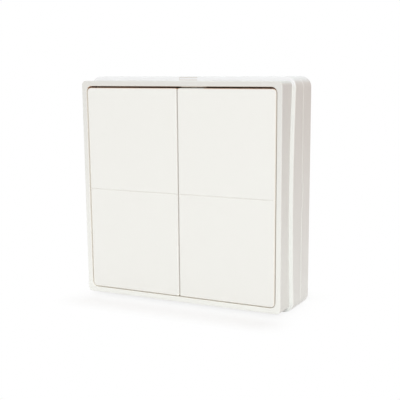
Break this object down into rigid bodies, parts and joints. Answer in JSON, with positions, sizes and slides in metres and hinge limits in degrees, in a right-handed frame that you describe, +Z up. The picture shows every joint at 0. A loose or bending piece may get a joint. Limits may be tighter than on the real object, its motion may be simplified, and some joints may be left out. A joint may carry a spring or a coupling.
{
  "type": "wireless button switch",
  "caption": "Square surface-mounted wireless wall switch with tall rocker keys side by side in a slim frame on a deeper battery housing and wall base.",
  "frame": {"origin": "bottom face of the housing, at the middle of its width and of the whole depth", "axes": "+X to the right seen from the front, +Y from the front to the wall, +Z up"},
  "size_m": [0.086, 0.0244, 0.086],
  "materials": {
    "shell": "warm white moulded plastic, fine satin texture",
    "key": "warm white moulded plastic, smooth satin",
    "carrier": "dark brown moulded plastic",
    "steel": "ground bright steel",
    "screw_steel": "zinc plated",
    "circuit_board": "glass laminate under green solder mask",
    "black_plastic": "black moulded plastic",
    "stem_plastic": "grey moulded plastic",
    "led_lens": "clear moulded lens",
    "shield_metal": "tin plated",
    "ceramic_chip": "fired ceramic with tinned ends",
    "can_aluminium": "drawn aluminium",
    "copper_wire": "enamelled copper",
    "tray_plastic": "black moulded plastic",
    "cell_sleeve": "plain printed sleeve on a steel can",
    "contact_metal": "nickel plated spring steel"
  },
  "bodies": {
    "switch_body": {"front_frame": "shell", "housing": "shell", "back_base": "shell", "left_pivot_pin": "steel", "right_pivot_pin": "steel", "rocker_carrier": "carrier", "carrier_screws": "screw_steel", "board_screws": "screw_steel", "main_board": "circuit_board", "key_switches": "black_plastic", "learn_switch": "black_plastic", "status_led": "led_lens", "microcontroller": "black_plastic", "radio_board": "circuit_board", "radio_shield": "shield_metal", "crystal": "shield_metal", "chip_capacitors": "ceramic_chip", "buffer_capacitor": "can_aluminium", "antenna_wire": "copper_wire", "battery_holder": "tray_plastic", "upper_battery": "cell_sleeve", "lower_battery": "cell_sleeve", "negative_contacts": "contact_metal", "positive_contacts": "contact_metal"},
    "left_rocker": {"left_rocker": "key"},
    "right_rocker": {"right_rocker": "key"},
    "upper_left_stem": {"upper_left_stem": "stem_plastic"},
    "lower_left_stem": {"lower_left_stem": "stem_plastic"},
    "upper_right_stem": {"upper_right_stem": "stem_plastic"},
    "lower_right_stem": {"lower_right_stem": "stem_plastic"},
    "learn_button": {"learn_button": "stem_plastic"}
  },
  "joints": [
    {"name": "left_rocker_tilt", "type": "hinge", "parent": "switch_body", "child": "left_rocker", "pos_m": [-0.01965, -0.0078, 0.043], "axis": [1, 0, 0], "range_deg": [-1.6, 1.6], "stiffness_Nm_per_rad": 1.5},
    {"name": "upper_left_stem_slide", "type": "slide", "parent": "switch_body", "child": "upper_left_stem", "axis": [0, 1, 0], "range_m": [-0.00023, 0.00023]},
    {"name": "lower_left_stem_slide", "type": "slide", "parent": "switch_body", "child": "lower_left_stem", "axis": [0, 1, 0], "range_m": [-0.00023, 0.00023]},
    {"name": "right_rocker_tilt", "type": "hinge", "parent": "switch_body", "child": "right_rocker", "pos_m": [0.01965, -0.0078, 0.043], "axis": [1, 0, 0], "range_deg": [-1.6, 1.6], "stiffness_Nm_per_rad": 1.5},
    {"name": "upper_right_stem_slide", "type": "slide", "parent": "switch_body", "child": "upper_right_stem", "axis": [0, 1, 0], "range_m": [-0.00023, 0.00023]},
    {"name": "lower_right_stem_slide", "type": "slide", "parent": "switch_body", "child": "lower_right_stem", "axis": [0, 1, 0], "range_m": [-0.00023, 0.00023]},
    {"name": "learn_button_press", "type": "slide", "parent": "switch_body", "child": "learn_button", "axis": [0, -1, 0], "range_m": [0, 0.00025], "stiffness_N_per_m": 4000}
  ],
  "couplings": [
    {"joint": "upper_left_stem_slide", "follows": "left_rocker_tilt", "m_per_rad": -0.008},
    {"joint": "lower_left_stem_slide", "follows": "left_rocker_tilt", "m_per_rad": 0.008},
    {"joint": "upper_right_stem_slide", "follows": "right_rocker_tilt", "m_per_rad": -0.008},
    {"joint": "lower_right_stem_slide", "follows": "right_rocker_tilt", "m_per_rad": 0.008}
  ]
}
